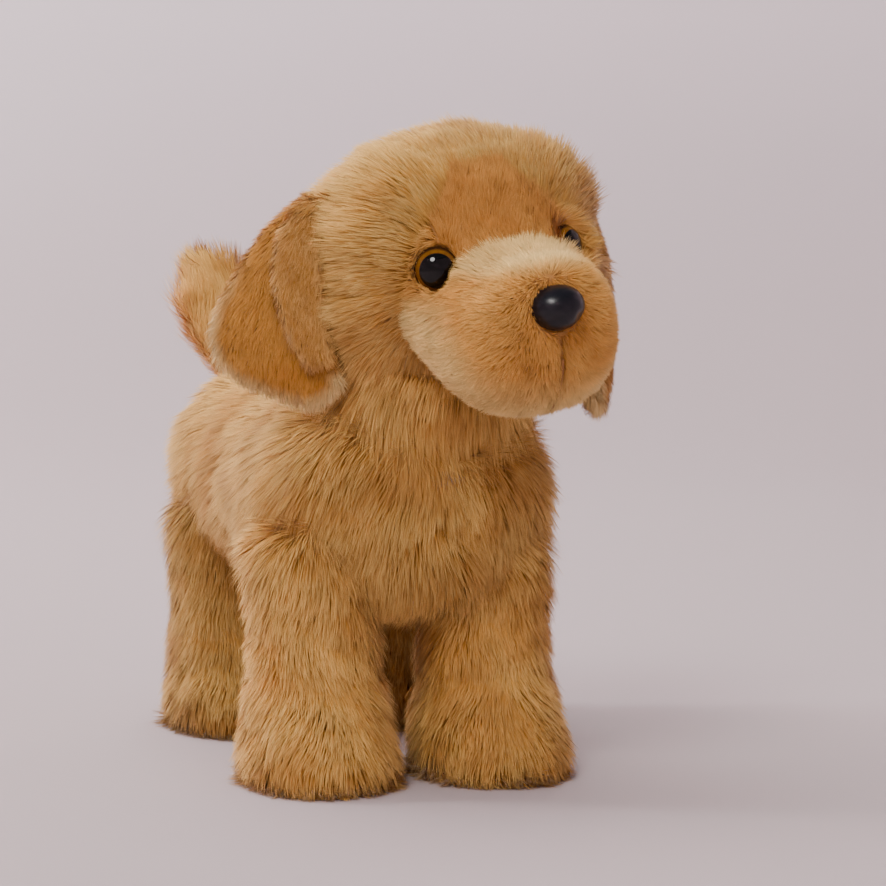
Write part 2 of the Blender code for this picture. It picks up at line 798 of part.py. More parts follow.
def build_ear(side, sign, skull):
    """A flap of two layers, with its front corner folded back over its face."""
    seam = EAR_EDGE[0] + EAR_SET[sign]
    pivot = Vector((sign * seam.x, seam.y, seam.z))
    joint = empty(f"ear_{side}", pivot, parent=skull)
    end = len(EAR_EDGE) - 1
    whole = (EAR_WIDTH, end, 8)
    lobe = (LOBE_WIDTH, LOBE_END, 6)
    flap(f"ear_{side}_lining", sign, 0, *whole, PALE_PILE, joint, pivot)
    flap(f"ear_{side}_outer", sign, 1, *whole, SHORT_PILE, joint, pivot)
    flap(f"ear_{side}_lobe", sign, 2, *lobe, SHORT_PILE, joint, pivot)


build_torso()
for leg_name, leg_place, leg_spec, leg_sign in leg_sides():
    leg_shape = FRONT_LEG_SHAPE if leg_place == "front" else HIND_LEG_SHAPE
    build_leg(leg_name, leg_spec, leg_shape, leg_sign)
build_tail()
build_neck()
build_head()
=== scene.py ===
import json
import math
import bpy
import bmesh
import numpy as np
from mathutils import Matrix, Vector, kdtree
from mathutils.bvhtree import BVHTree


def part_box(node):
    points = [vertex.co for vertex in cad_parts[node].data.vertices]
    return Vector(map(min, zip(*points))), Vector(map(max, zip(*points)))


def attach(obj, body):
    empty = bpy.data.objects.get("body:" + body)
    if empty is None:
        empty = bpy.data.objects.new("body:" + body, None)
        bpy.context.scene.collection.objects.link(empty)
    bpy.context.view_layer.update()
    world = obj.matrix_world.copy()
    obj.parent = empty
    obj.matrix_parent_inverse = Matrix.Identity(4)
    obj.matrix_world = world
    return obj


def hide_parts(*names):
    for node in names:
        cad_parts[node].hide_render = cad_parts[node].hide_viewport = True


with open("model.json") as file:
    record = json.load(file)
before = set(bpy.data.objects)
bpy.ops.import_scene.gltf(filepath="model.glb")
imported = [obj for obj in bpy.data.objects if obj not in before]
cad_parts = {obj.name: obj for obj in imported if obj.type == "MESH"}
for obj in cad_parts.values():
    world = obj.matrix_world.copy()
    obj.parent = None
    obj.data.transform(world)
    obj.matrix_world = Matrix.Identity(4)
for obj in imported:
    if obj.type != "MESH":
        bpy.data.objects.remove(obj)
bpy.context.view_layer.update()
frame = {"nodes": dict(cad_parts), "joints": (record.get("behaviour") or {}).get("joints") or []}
mm = 0.001
nodes = frame["nodes"]
joints = {joint["name"]: joint for joint in frame["joints"]}
legNames = ["front_left", "front_right", "hind_left", "hind_right"]
print("frame loaded:", len(nodes), "nodes")


class Socket:  # a node's output, with Python's own operators on numbers
    def __init__(self, look, port):
        self.look, self.port = look, port

    def maths(self, operation, other):
        return self.look.node("ShaderNodeMath", {"operation": operation}, {0: self, 1: other})

    def __add__(self, other):
        return self.maths("ADD", other)

    def __radd__(self, other):
        return self.maths("ADD", other)

    def __mul__(self, other):
        return self.maths("MULTIPLY", other)

    def __rmul__(self, other):
        return self.maths("MULTIPLY", other)

    def __sub__(self, other):
        return self.maths("SUBTRACT", other)

    def __rsub__(self, other):
        return (self * -1.0).maths("ADD", other)


class Look:  # one material while it is being wired
    def __init__(self, name, **uniform):
        self.material = bpy.data.materials.new(name)
        self.material.use_nodes = True
        self.tree = self.material.node_tree
        self.shader = self.tree.nodes["Principled BSDF"]
        for words, value in uniform.items():
            self.shader.inputs[words.replace("_", " ")].default_value = value

    def node(self, kind, settings, sockets, output=0):
        made = self.tree.nodes.new(kind)
        for word, value in settings.items():
            setattr(made, word, value)
        for key, value in sockets.items():
            if isinstance(value, Socket):
                self.tree.links.new(value.port, made.inputs[key])
            else:
                made.inputs[key].default_value = value
        return Socket(self, made.outputs[output])

    def mix(self, share, first, second, blend="MIX"):
        settings = {"data_type": "RGBA", "blend_type": blend}
        first = (*first, 1) if isinstance(first, tuple) else first
        second = (*second, 1) if isinstance(second, tuple) else second
        return self.node("ShaderNodeMix", settings, {0: share, 6: first, 7: second}, 2)

    def place(self):
        return self.node("ShaderNodeTexCoord", {}, {}, "Object")

    def noise(self, scale, detail=2.0, rough=0.5):
        values = {"Vector": self.place(), "Scale": scale, "Detail": detail, "Roughness": rough}
        return self.node("ShaderNodeTexNoise", {}, values)

    def stored(self, name):
        return self.node("ShaderNodeAttribute", {"attribute_name": name}, {}, "Fac")

    def eased(self, value, low, high, bottom=0.0, top=1.0):
        values = {"Value": value, "From Min": low, "From Max": high, "To Min": bottom, "To Max": top}
        return self.node("ShaderNodeMapRange", {"interpolation_type": "SMOOTHSTEP"}, values)

    def feed(self, word, value):
        self.tree.links.new(value.port, self.shader.inputs[word])

    def bump(self, height, strength, distance):
        values = {"Height": height, "Strength": strength, "Distance": distance}
        self.feed("Normal", self.node("ShaderNodeBump", {}, values))


def linear(red, green, blue):  # a colour as it is seen, 0 to 255, to the shader's linear values
    parts = [v / 255 for v in (red, green, blue)]
    return tuple(v / 12.92 if v <= 0.04045 else ((v + 0.055) / 1.055) ** 2.4 for v in parts)


# the root colours are darker than the middle ones as painted shade deep in the pile
goldenPile = {"root": linear(162, 110, 46), "middle": linear(200, 144, 62), "tip": linear(232, 190, 110),
              "warm": linear(180, 116, 42), "pale": linear(238, 204, 134), "warmth": 0.45}
amberPile = {"root": linear(178, 118, 52), "middle": linear(218, 156, 72), "tip": linear(232, 180, 98),
             "warm": linear(208, 138, 58), "pale": linear(232, 196, 124), "warmth": 0.4}
patchPile = {"root": linear(162, 102, 42), "middle": linear(190, 128, 54), "tip": linear(208, 150, 76),
             "warm": linear(180, 110, 40), "pale": linear(230, 190, 120), "warmth": 0.4}
earPile = {"root": linear(160, 102, 40), "middle": linear(198, 135, 52), "tip": linear(218, 160, 76),
           "warm": linear(186, 118, 42), "pale": linear(236, 204, 140), "warmth": 0.5}


def pileLook(name, colours):  # strands: darker at the root as painted shade deep in the pile, paler at the tip, each its own tone
    look = Look(name, Roughness=0.66, Sheen_Weight=0.12, Sheen_Roughness=0.5)
    look.shader.inputs["Specular IOR Level"].default_value = 0.18
    tip, tone, pale = look.stored("tip"), look.stored("tone"), look.stored("pale")
    lit = look.mix(look.eased(tip, 0.0, 0.55), colours["root"], colours["middle"])
    lit = look.mix(look.eased(tip, 0.5, 1.0), lit, colours["tip"])
    patches = look.eased(look.noise(38.0, 3.0), 0.42, 0.66) * colours["warmth"]
    lit = look.mix(patches, lit, colours["warm"])
    lit = look.mix(pale * look.eased(tip, 0.0, 0.35, 0.45, 1.0), lit, colours["pale"])
    # each strand's stored tone: its own random tone times the painted light and shade given to its pile
    toneAndPaintedShade = look.node("ShaderNodeCombineColor", {}, {0: tone, 1: tone, 2: tone})
    look.feed("Base Color", look.mix(1.0, lit, toneAndPaintedShade, "MULTIPLY"))
    return look.material


def backingLook(name, colour):  # the knitted backing and packed root of the pile
    look = Look(name, Roughness=0.95)
    streaks = look.noise(900.0, 2.0, 0.6)
    look.feed("Base Color", look.mix(streaks, tuple(v * 0.55 for v in colour), colour))
    look.bump(streaks, 0.6, 0.0006)
    return look.material


def evaluated(obj):  # the object's mesh with its modifiers applied
    graph = bpy.context.evaluated_depsgraph_get()
    return bpy.data.meshes.new_from_object(obj.evaluated_get(graph))


def joinedNodes(names):  # CAD nodes welded into one bmesh, in world metres
    work = bmesh.new()
    for name in names:
        work.from_mesh(nodes[name].data)
    bmesh.ops.remove_doubles(work, verts=work.verts, dist=1e-6)
    return work


def keepBiggest(work):  # drops the loose islands left inside a remeshed form
    seen, best = set(), []
    for start in work.verts:
        if start in seen:
            continue
        island, queue = [], [start]
        seen.add(start)
        while queue:
            vert = queue.pop()
            island.append(vert)
            for edge in vert.link_edges:
                other = edge.other_vert(vert)
                if other not in seen:
                    seen.add(other)
                    queue.append(other)
        best = max(best, island, key=len)
    keep = set(best)
    bmesh.ops.delete(work, geom=[v for v in work.verts if v not in keep], context="VERTS")


def makeCoat(name, body, members, material, voxel=1.6 * mm, swell=0.9 * mm,
             smoothing=6):  # one smooth skin over the sewn panels and their filling
    work = joinedNodes(members)
    work.normal_update()
    for vert in work.verts:
        vert.co += vert.normal * swell
    mesh = bpy.data.meshes.new(name)
    work.to_mesh(mesh)
    work.free()
    coat = bpy.data.objects.new(name, mesh)
    bpy.context.scene.collection.objects.link(coat)
    remesh = coat.modifiers.new("weld", "REMESH")
    remesh.mode = "VOXEL"
    remesh.voxel_size = voxel
    coat.data = evaluated(coat)
    coat.modifiers.clear()
    work = bmesh.new()
    work.from_mesh(coat.data)
    keepBiggest(work)
    for _ in range(smoothing):
        bmesh.ops.smooth_vert(work, verts=work.verts, factor=0.5,
                              use_axis_x=True, use_axis_y=True, use_axis_z=True)
    work.normal_update()
    for vert in work.verts:
        vert.co -= vert.normal * swell
        vert.co.z = max(vert.co.z, 0.2 * mm)  # off the floor
    work.to_mesh(coat.data)
    work.free()
    coat.data.materials.clear()
    coat.data.materials.append(material)
    coat.data.shade_smooth()
    coat.name = coat.data.name = name
    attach(coat, body)
    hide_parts(*members)
    return coat


def treeOf(obj):
    work = bmesh.new()
    work.from_mesh(obj.data)
    tree = BVHTree.FromBMesh(work)
    work.free()
    return tree


def smoothField(obj):  # vertex places and normals, for looking up the surface near a point
    count = len(obj.data.vertices)
    places = np.empty(count * 3)
    normals = np.empty(count * 3)
    obj.data.vertices.foreach_get("co", places)
    obj.data.vertex_normals.foreach_get("vector", normals)
    places, normals = places.reshape(-1, 3), normals.reshape(-1, 3)
    tree = kdtree.KDTree(count)
    for i, place in enumerate(places):
        tree.insert(place, i)
    tree.balance()
    return {"tree": tree, "places": places, "normals": normals, "bvh": treeOf(obj)}


def unit(vectors):
    return vectors / np.maximum(np.linalg.norm(vectors, axis=1), 1e-9)[:, None]


def facesOf(name):  # a node's triangles, in world metres
    mesh = nodes[name].data
    mesh.calc_loop_triangles()
    return np.array([[mesh.vertices[i].co for i in t.vertices] for t in mesh.loop_triangles])


# which faces count as a panel's outside, and how near a root may come to another body's coat
rootRule = {"deepest": 3 * mm, "leastFacing": 0.05, "blend": 4, "clearance": 1.2 * mm}


def rootsOn(panels, field, density, rng):  # points spread over the outsides of panels, with smooth normals
    found = []
    for name in panels:
        corners = facesOf(name)
        middle = corners.mean(axis=1)
        across = np.cross(corners[:, 1] - corners[:, 0], corners[:, 2] - corners[:, 0])
        areas = np.linalg.norm(across, axis=1) / 2
        facing = unit(across)
        outside = np.zeros(len(corners), bool)
        for i, (place, way) in enumerate(zip(middle, facing)):
            near, normal, _, gap = field["bvh"].find_nearest(place)
            outside[i] = gap < rootRule["deepest"] and normal.dot(Vector(way)) > rootRule["leastFacing"]
        corners, areas = corners[outside], areas[outside]
        count = int(areas.sum() * 1e6 * density)
        chosen = rng.choice(len(corners), count, p=areas / areas.sum())
        first, second = rng.random(count), rng.random(count)
        flip = first + second > 1
        first[flip], second[flip] = 1 - first[flip], 1 - second[flip]
        a, b, c = corners[chosen, 0], corners[chosen, 1], corners[chosen, 2]
        found.append(a + (b - a) * first[:, None] + (c - a) * second[:, None])
    points = np.concatenate(found)
    normals = np.empty_like(points)
    for i, point in enumerate(points):
        near = field["bvh"].find_nearest(point)
        points[i] = near[0]
        close = field["tree"].find_n(near[0], rootRule["blend"])
        normals[i] = sum(field["normals"][j] / (gap + 0.3 * mm) for _, j, gap in close)
    return points, unit(normals)


def clearOf(points, others):  # False where a root is in or against another body's coat
    clear = np.ones(len(points), bool)
    up = Vector((0.12, 0.07, 0.99))  # a little off straight, so that no ray runs along a seam
    for other in others:
        tree = fields[other]["bvh"]
        for i, point in enumerate(points):
            _, normal, _, _ = tree.ray_cast(point, up)
            inside = normal is not None and normal.dot(up) > 0
            clear[i] &= not inside and tree.find_nearest(point, rootRule["clearance"])[0] is None
    return clear


def clearRoots(panels, field, density, rng, others):  # roots on panels, clear of the other bodies' coats
    roots, normals = rootsOn(panels, field, density, rng)
    keep = clearOf(roots, others)
    return roots[keep], normals[keep]


def swirl(points, wavelength, seed):  # a slow, repeatable waver in -1 to 1
    rng = np.random.default_rng(seed)
    total = np.zeros(len(points))
    for _ in range(5):
        way = rng.normal(size=3)
        way *= 2 * math.pi / wavelength / np.linalg.norm(way) * rng.uniform(0.7, 1.6)
        total += np.sin(points @ way + rng.uniform(0, 2 * math.pi))
    return total / 2.5


rootDepth = 0.4 * mm  # a strand starts this far under its coat
laidFlat = (66, 80)  # the lean at root and tip of a strand that lies down, in degrees


def growPile(name, body, roots, normals, aims, spec, pale=0.0, reach=1.0, flat=0.0, toneAndPaintedShade=1.0):
    # one mesh of tapered ribbons: aims are the way it is combed, reach scales each strand's length,
    # flat lays it down, pale changes its colour, and the last factor scales its tone as painted light and
    # shade
    rng = np.random.default_rng(spec["seed"])
    count = len(roots)
    steps = spec["steps"]
    aims = unit(aims - normals * np.sum(aims * normals, axis=1)[:, None])
    aside = np.cross(normals, aims)
    turn = rng.normal(0, spec["stray"], count) + spec["waver"] * swirl(roots, spec["wave"], spec["seed"])
    aims = aims * np.cos(turn)[:, None] + aside * np.sin(turn)[:, None]
    lengths = spec["length"] * reach * rng.uniform(0.74, 1.1, count)
    lift = rng.normal(0, spec["ruffle"], count)
    lift = lift + spec["billow"] * swirl(roots, spec["wave"] * 0.7, spec["seed"] + 9)
    leanRoot, leanTip = (math.radians(v) for v in spec["lean"])
    leanRoot = leanRoot + (math.radians(laidFlat[0]) - leanRoot) * flat
    leanTip = leanTip + (math.radians(laidFlat[1]) - leanTip) * flat
    spine = [roots - normals * rootDepth]
    for k in range(steps):
        lean = np.clip(leanRoot + (leanTip - leanRoot) * (k + 0.5) / steps + lift * (1 - flat), 0.1, 1.5)
        way = normals * np.cos(lean)[:, None] + aims * np.sin(lean)[:, None]
        spine.append(spine[-1] + way * (lengths / steps)[:, None])
    spine = np.stack(spine, axis=1)

    heads = max(1, int(count / spec["lock"]))  # strands that the others lean towards, in locks
    tree = kdtree.KDTree(heads)
    for i in range(heads):
        tree.insert(roots[i], i)
    tree.balance()
    leader = np.array([tree.find(root)[1] for root in roots])
    pull = spec["pull"] * rng.uniform(0.4, 1.0, count)
    share = (np.arange(steps + 1) / steps) ** 1.6
    toLeader = spine[leader] - spine
    spine += toLeader * share[None, :, None] * pull[:, None, None]
    spine[:, :, 2] -= spec["droop"] * lengths[:, None] * (np.arange(steps + 1) / steps) ** 2
    spine[:, :, 2] = np.maximum(spine[:, :, 2], 0.3 * mm)  # off the floor

    ways = np.diff(spine, axis=1)
    ways = np.concatenate([ways, ways[:, -1:]], axis=1)
    sides = np.cross(ways, normals[:, None, :] + rng.normal(0, 0.35, (count, 1, 3)))
    sides /= np.maximum(np.linalg.norm(sides, axis=2), 1e-9)[:, :, None]
    widths = spec["width"] * rng.uniform(0.75, 1.25, count)
    taper = 1 - 0.75 * (np.arange(steps + 1) / steps) ** 1.5
    half = (widths[:, None] * taper[None, :] / 2)[:, :, None]
    left, right = spine - sides * half, spine + sides * half
    rows = 2 * steps + 1
    places = np.empty((count, rows, 3))
    places[:, 0:2 * steps:2] = left[:, :steps]
    places[:, 1:2 * steps:2] = right[:, :steps]
    places[:, -1] = spine[:, -1]
    facing = np.cross(sides, ways)
    facing /= np.maximum(np.linalg.norm(facing, axis=2), 1e-9)[:, :, None]
    outward = np.sign(np.sum(facing * normals[:, None, :], axis=2))[:, :, None]
    facing *= np.where(outward == 0, 1, outward)
    shading = np.empty((count, rows, 3))
    field = fields[body.replace("leg_", "")]
    reached = np.array([field["normals"][field["tree"].find(tip)[1]] for tip in spine[:, -1]])
    drape = (np.arange(steps + 1) / steps)[None, :, None]
    base = (normals[:, None, :] * (1 - drape) + reached[:, None, :] * drape) * 0.75 + facing * 0.4
    shading[:, 0:2 * steps:2] = (base - sides * 0.35)[:, :steps]
    shading[:, 1:2 * steps:2] = (base + sides * 0.35)[:, :steps]
    shading[:, -1] = base[:, -1]
    shading /= np.linalg.norm(shading, axis=2)[:, :, None]

    first = np.arange(count)[:, None] * rows
    quads = [first + np.array([[2 * k, 2 * k + 1, 2 * k + 3, 2 * k + 2]]) for k in range(steps - 1)]
    quads = np.concatenate(quads, axis=1).reshape(-1) if quads else np.empty(0, int)
    points = (first + np.array([[rows - 3, rows - 2, rows - 1]])).reshape(-1)
    quadCount = (steps - 1) * count
    mesh = bpy.data.meshes.new(name)
    mesh.vertices.add(count * rows)
    mesh.vertices.foreach_set("co", places.astype(np.float32).ravel())
    loops = np.concatenate([quads, points]).astype(np.int32)
    mesh.loops.add(len(loops))
    mesh.loops.foreach_set("vertex_index", loops)
    starts = np.concatenate([np.arange(quadCount) * 4, quadCount * 4 + np.arange(count) * 3])
    mesh.polygons.add(quadCount + count)
    mesh.polygons.foreach_set("loop_start", starts.astype(np.int32))
    mesh.update(calc_edges=True)
    mesh.validate()
    along = np.repeat(np.arange(steps + 1) / steps, 2)[:-1]
    tones = np.clip(rng.normal(1.0, spec["tone"], count), 0.6, 1.4)
    # painted light and shade: each pile's tones are scaled by the factor it is given
    tones = tones * (1 + spec["tone"] * swirl(roots, spec["wave"] * 0.5, spec["seed"] + 3)) * toneAndPaintedShade
    values = {"tip": np.tile(along, count), "tone": np.repeat(tones, rows),
              "pale": np.repeat(np.broadcast_to(pale, count), rows)}
    for word, value in values.items():
        layer = mesh.attributes.new(word, "FLOAT", "POINT")
        layer.data.foreach_set("value", value.astype(np.float32))
    mesh.polygons.foreach_set("use_smooth", np.ones(len(mesh.polygons), bool))
    mesh.normals_split_custom_set_from_vertices(shading.reshape(-1, 3))
    mesh.materials.append(spec["look"])
    made = bpy.data.objects.new(name, mesh)
    bpy.context.scene.collection.objects.link(made)
    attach(made, body)
    print(f"  {name}: {count} strands")
    return made


# looks
looks = {"golden": pileLook("goldenPile", goldenPile), "amber": pileLook("amberPile", amberPile),
         "patch": pileLook("patchPile", patchPile), "ear": pileLook("earPile", earPile),
         "backing": backingLook("goldenBacking", linear(178, 124, 62)),
         "amberBacking": backingLook("amberBacking", linear(200, 142, 76))}

# coats
coats = {}
torsoPanels = ["body_side_left", "body_side_right", "belly_gusset"]
tailPanels = ["tail_skin_left", "tail_skin_right"]
headPanels = ["crown_gusset", "forehead_patch", "head_side_left", "head_side_right", "jaw_gusset",
              "muzzle_bridge", "muzzle_left", "muzzle_right"]
coats["torso"] = makeCoat("torsoCoat", "torso", torsoPanels + ["torso_stuffing"], looks["backing"],
                          voxel=2 * mm)
coats["neck"] = makeCoat("neckCoat", "neck", ["neck_skin", "neck_stuffing"], looks["backing"], voxel=2 * mm)
coats["tail"] = makeCoat("tailCoat", "tail", tailPanels + ["tail_stuffing"], looks["backing"],
                         voxel=1.2 * mm)
coats["head"] = makeCoat("headCoat", "head", headPanels + ["head_stuffing"], looks["amberBacking"],
                         voxel=1.3 * mm)
for leg in legNames:
    members = [f"leg_{leg}_outer", f"leg_{leg}_inner", f"leg_{leg}_stuffing"]
    coats[leg] = makeCoat("legCoat_" + leg, "leg_" + leg, members, looks["backing"])
for side in ("left", "right"):
    layers = [f"ear_{side}_outer", f"ear_{side}_lining", f"ear_{side}_lobe"]
    coats["ear_" + side] = makeCoat("earCoat_" + side, "ear_" + side, layers, looks["backing"],
                                    voxel=0.8 * mm, swell=0.65 * mm,
                                    smoothing=4)
print("coats made")
fields = {name: smoothField(coat) for name, coat in coats.items()}
print("fields made")

# the head's own axes, about the middle of the skull
skullFromNeck = Vector((3.5, -13, 30.5)) * mm
headSide = np.array(joints["head_nod"]["axis"])
headBack = np.array([-headSide[1], headSide[0], 0]) / math.hypot(headSide[0], headSide[1])
headUp = np.cross(headSide, headBack)
skull = np.array(Vector(joints["head_nod"]["pos_m"]) + skullFromNeck)
headAxes = np.stack([headSide, headBack, headUp])


def inHead(points):  # millimetres to the head's left, back and up
    return (points - skull) @ headAxes.T / mm


def placesOf(name):
    return np.array([v.co for v in nodes[name].data.vertices])


eyes = {}
for side in ("left", "right"):
    lens = placesOf(f"eye_{side}_lens")
    aim = unit((lens.mean(axis=0) - placesOf(f"eye_{side}_washer").mean(axis=0))[None])[0]
    centre = lens.mean(axis=0)
    depth = (lens - centre) @ aim
    radius = np.linalg.norm(lens - centre - depth[:, None] * aim, axis=1).max()
    eyes[side] = {"place": centre, "aim": aim, "front": depth.max(), "back": depth.min(),
                  "radius": radius * 1.06, "bare": 0.64 if side == "left" else 1.0}
nosePlace = placesOf("nose").mean(axis=0)


def gapTo(points, place, close, far):  # 0 at close, 1 at far
    return np.clip((np.linalg.norm(points - place, axis=1) - close) / (far - close), 0, 1)


def eyeGap(points, close, far):  # the pile closes in a little more over the left eye
    gaps = [gapTo(points, eye["place"], close * eye["bare"], far * eye["bare"]) for eye in eyes.values()]
    return np.minimum(*gaps)


def fromEyes(points, reachOut):  # a push away from the nearer eye, fading with distance
    push = np.zeros_like(points)
    for eye in eyes.values():
        share = (1 - gapTo(points, eye["place"], 5 * mm, reachOut))[:, None]
        push += unit(points - eye["place"]) * share * eye["bare"]
    return push


# The face of short pile, about the skull in millimetres: its half width at heights up the head,
# and below the eyes how far back it runs
face = {"heights": [-6, 5, 19, 29], "halfWidths": [33.5, 31, 17, 9], "top": 29,
        "lowHeights": [-46, -26, -15, -6], "backs": [-19, -23.5, -25.5, -28.5]}


def outsideFace(points):  # millimetres outside the face's border, negative within it
    q = inHead(points)
    wide = np.abs(q[:, 0]) - np.interp(q[:, 2], face["heights"], face["halfWidths"])
    high = np.maximum(wide, q[:, 2] - face["top"])
    low = q[:, 1] - np.interp(q[:, 2], face["lowHeights"], face["backs"])
    high = np.maximum(high, q[:, 1] + 20)
    return np.where(q[:, 2] > face["heights"][0], high, low)


def combHead(points):  # out from the middle of the face, and back
    q = inHead(points)
    way = q - [0, -30, -6] + [0, 26, 0]
    way[:, 2] -= np.clip(-q[:, 2], 0, None) * 0.6
    return unit(way @ headAxes) + fromEyes(points, 16 * mm) * 1.5


tailPlace = np.array(joints["tail_wag"]["pos_m"])
neckPlace = (np.array(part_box("neck_skin")[0]) + np.array(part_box("neck_skin")[1])) / 2


def combTorso(points):  # down and back, away from the neck round its foot, and up the tail at its root
    low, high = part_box("body_side_left")
    along = np.clip((points[:, 1] - low[1]) / (high[1] - low[1]), 0, 1)
    way = np.zeros_like(points)
    way[:, 1] = np.clip((along - 0.04) / 0.2, 0, 1) * 0.75
    way[:, 2] = -0.8
    way[:, 0] = np.sign(points[:, 0]) * 0.12
    collar = 1 - gapTo(points, neckPlace, 30 * mm, 52 * mm)
    rump = 1 - gapTo(points, tailPlace, 12 * mm, 26 * mm)
    return way + unit(points - neckPlace) * collar[:, None] * 1.4 + rump[:, None] * [-0.6, 0.5, 1.6]


# density is strands to a square millimetre, lock is strands to a lock, and lean is in degrees
longPile = {"length": 17 * mm, "width": 0.38 * mm, "density": 3.3, "steps": 3, "lean": (40, 74),
            "stray": 0.12, "waver": 0.26, "wave": 34 * mm, "ruffle": 0.09, "billow": 0.12,
            "lock": 34, "pull": 0.32, "droop": 0.05, "tone": 0.08,
            "look": looks["golden"], "slot": "long_pile", "seed": 1}
shortPile = {**longPile, "length": 5 * mm, "width": 0.30 * mm, "density": 8.0, "steps": 2, "lean": (40, 68),
             "stray": 0.18, "waver": 0.25, "wave": 14 * mm, "ruffle": 0.10, "billow": 0.08,
             "lock": 14, "pull": 0.2, "droop": 0.0, "tone": 0.07,
             "look": looks["amber"], "slot": "short_pile"}

rng = np.random.default_rng(5)
torsoFur = [("bodyFurLeft", "body_side_left", 3.3, 11), ("bodyFurRight", "body_side_right", 3.3, 12),
            ("bellyFur", "belly_gusset", 2.4, 13)]
for name, panel, density, seed in torsoFur:
    roots, normals = clearRoots([panel], fields["torso"], density, rng, ["neck", "tail"])
    halfway = np.median(roots[:, 1])
    for word, half in (("Front", roots[:, 1] < halfway), ("Back", roots[:, 1] >= halfway)):
        collar = 1 - gapTo(roots[half], neckPlace, 34 * mm, 56 * mm)
        # painted light and shade: pile facing upwards is lighter, and pile facing sideways or down is
        # darker
        above = np.clip(normals[half][:, 2], 0, 1)
        growPile(name + word, "torso", roots[half], normals[half], combTorso(roots[half]),
                 {**longPile, "seed": seed + len(word)}, reach=1 - 0.1 * collar,
                 flat=np.maximum(0.3 * collar, 0.5 * above), toneAndPaintedShade=0.9 + 0.1 * above)
print("body fur grown")

neckSpec = {**longPile, "length": 21 * mm, "density": 4.2, "lean": (34, 66), "seed": 21, "droop": 0.1,
            "pull": 0.3, "waver": 0.3}
roots, normals = clearRoots(["neck_skin"], fields["neck"], neckSpec["density"], rng, ["torso", "head"])
low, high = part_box("neck_skin")
foot = 1 - (roots[:, 2] - low[2]) / (high[2] - low[2])
aims = np.tile([0.0, 0.1, -1.0], (len(roots), 1))
# painted light: the neck pile is made a little lighter against the shadow of the head
growPile("neckFur", "neck", roots, normals, aims, neckSpec, reach=0.8 + 0.45 * foot, flat=0.1, toneAndPaintedShade=1.06)

legSpec = {**longPile, "length": 12.5 * mm, "lean": (42, 76), "wave": 26 * mm, "pawTop": 30 * mm}
for leg in legNames:
    for panel in ("outer", "inner"):
        name = f"leg_{leg}_{panel}"
        roots, normals = clearRoots([name], fields[leg], legSpec["density"], rng, ["torso"])
        low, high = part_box("sole_" + leg)
        spread = (roots - (np.array(low) + np.array(high)) / 2) * [1, 1, 0]
        top = np.clip((roots[:, 2] - 55 * mm) / (25 * mm), 0, 1)
        paw = np.clip(1 - roots[:, 2] / legSpec["pawTop"], 0, 1)[:, None]
        aims = np.array([0, 0.12, -1.0]) * (1 - paw) + (unit(spread) * 0.9 + [0, -0.25, -0.35]) * paw
        # painted shade on the hind legs, darkened as if in the body's shadow, and painted light on the
        # front legs, which are lightened
        growPile(f"legFur_{leg}_{panel}", "leg_" + leg, roots, normals, aims,
                 {**legSpec, "seed": 30 + 2 * legNames.index(leg) + len(panel) % 2},
                 reach=1 + 0.3 * top, flat=0.2 * paw[:, 0], toneAndPaintedShade=0.8 if "hind" in leg else 1.05)
print("leg fur grown")

headSpec = {**longPile, "length": 18 * mm, "density": 4.4, "lean": (34, 68), "stray": 0.12, "waver": 0.2}
sources = {"crownFur": ["crown_gusset", "forehead_patch"],
           "cheekFurLeft": ["head_side_left", "muzzle_left"],
           "cheekFurRight": ["head_side_right", "muzzle_right"], "jawFur": ["jaw_gusset"]}
for name, panels in sources.items():
    roots, normals = rootsOn(panels, fields["head"], headSpec["density"], rng)
    outside = outsideFace(roots)
    keep = (outside > 0) & (eyeGap(roots, 6.9 * mm, 8 * mm) > 0)
    roots, normals, outside = roots[keep], normals[keep], outside[keep]
    edge = np.clip(outside / 16, 0, 1)
    top = np.clip((inHead(roots)[:, 2] - 24) / 10, 0, 1)
    q = inHead(roots) - inHead(eyes["left"]["place"])  # the left cheek is fluffed out in front of its ear
    fluff = np.clip((q[:, 2] + 30) / 12, 0, 1) * np.clip((20 - q[:, 2]) / 14, 0, 1)
    fluff *= np.clip(q[:, 0] / 10, 0, 1) * np.clip((40 - q[:, 1]) / 22, 0, 1)
    under = np.clip((-18 - inHead(roots)[:, 2]) / 12, 0, 1)  # the lower cheeks hang over the neck
    reach = (0.36 + 0.64 * edge) * (1 - 0.16 * top + 0.4 * fluff + 0.3 * under)
    flat = np.maximum.reduce([0.8 * (1 - edge), 0.2 * under, 0.25 * top]) - 0.5 * fluff * edge
    # painted shade: the long pile next to the face's border is darker, as the shade in the crease where it
    # meets the short pile
    growPile(name, "head", roots, normals, combHead(roots) + [0, 0, -1.2] * under[:, None],
             {**headSpec, "seed": 40 + len(name)}, reach=reach, flat=flat, toneAndPaintedShade=0.74 + 0.26 * edge)

muzzleSources = {"bridgePile": "muzzle_bridge", "muzzlePileLeft": "muzzle_left",
                 "muzzlePileRight": "muzzle_right", "foreheadPile": "forehead_patch"}
